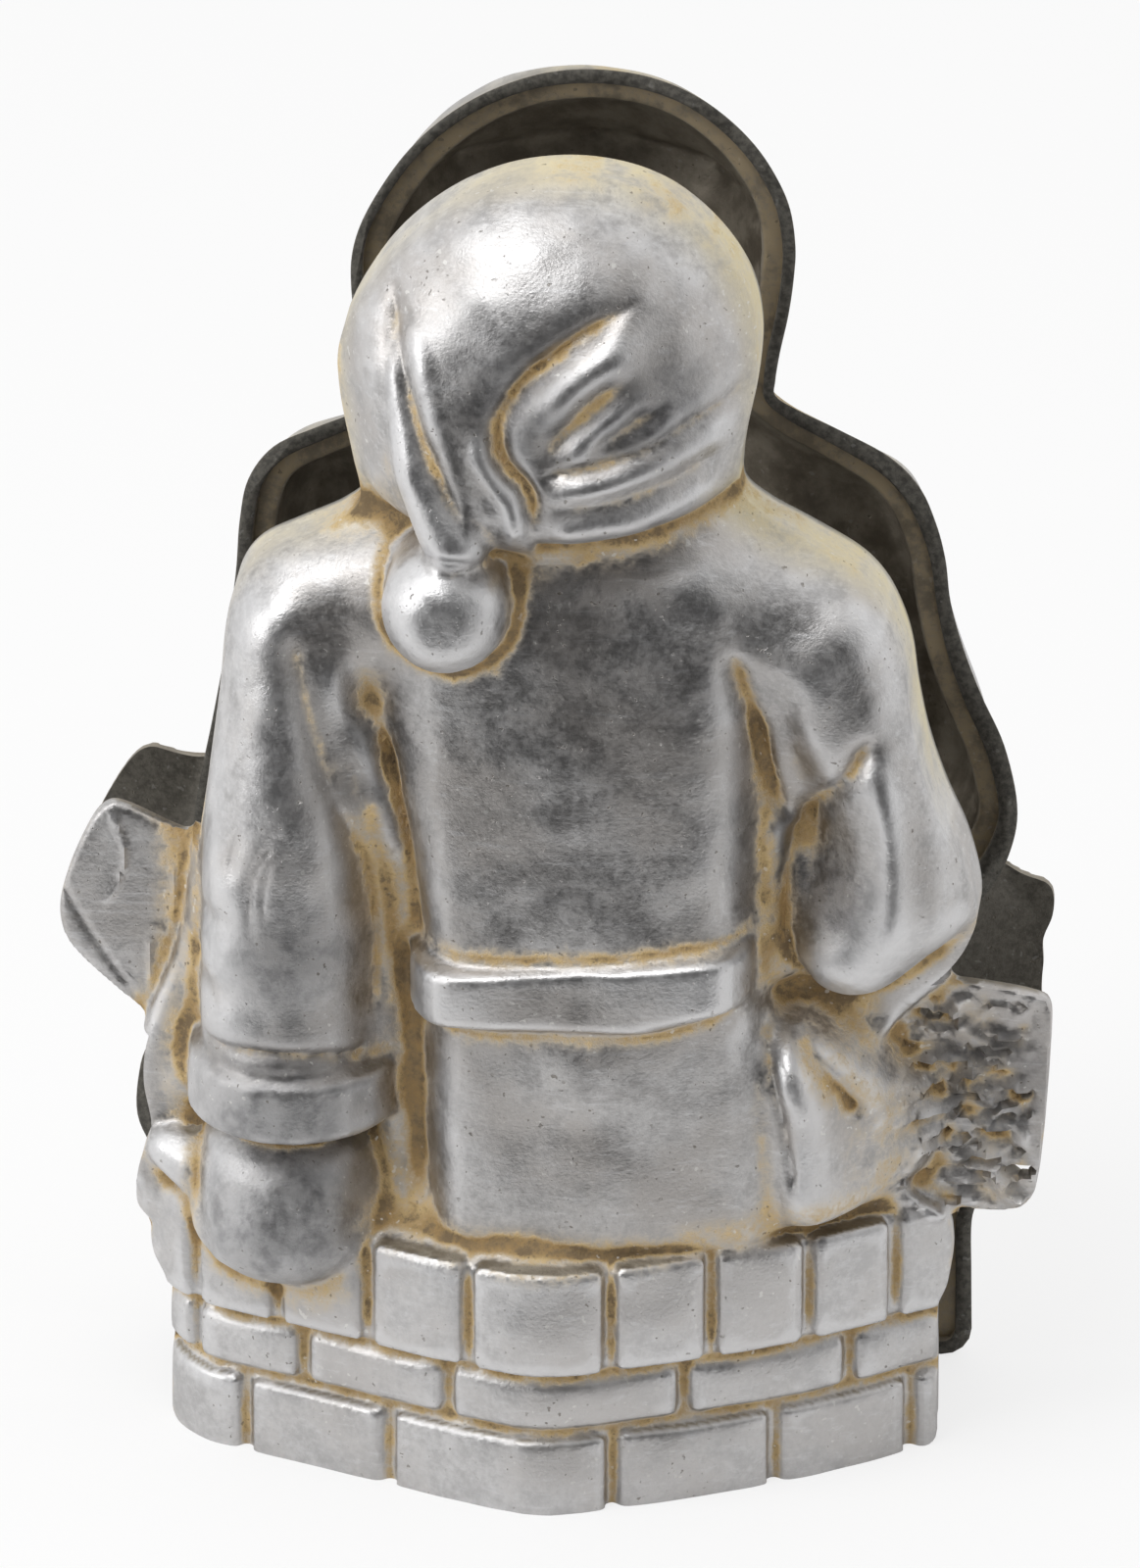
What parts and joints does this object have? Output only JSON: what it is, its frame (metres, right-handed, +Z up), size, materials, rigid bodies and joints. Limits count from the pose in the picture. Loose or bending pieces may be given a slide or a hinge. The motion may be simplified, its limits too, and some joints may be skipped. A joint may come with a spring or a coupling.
{
  "type": "cake mould",
  "caption": "Cast aluminium cake mould, a front half and a back half that close on a stepped rim, shaped as a capped, coated figure in a brick chimney that stands on its base.",
  "frame": {"origin": "on the surface that the mould stands on, under the middle of the bounding box, half way between the two halves", "axes": "+X to the right and +Y away from someone who looks at the figure's back, from back_half to front_half; +Z up"},
  "size_m": [0.224, 0.1435, 0.3082],
  "materials": {
    "bright_cast_aluminium": "as cast, mottled grey with bright worn edges and a brownish residue in the grooves",
    "dark_cast_aluminium": "as cast, darkened by baking, with brighter worn edges"
  },
  "bodies": {
    "back_half": {"back_half": "bright_cast_aluminium"},
    "front_half": {"front_half": "dark_cast_aluminium"}
  },
  "joints": [
    {"name": "closing_slide", "type": "slide", "parent": "back_half", "child": "front_half", "axis": [0, -1, 0], "range_m": [-0.06, 0.0426]}
  ]
}
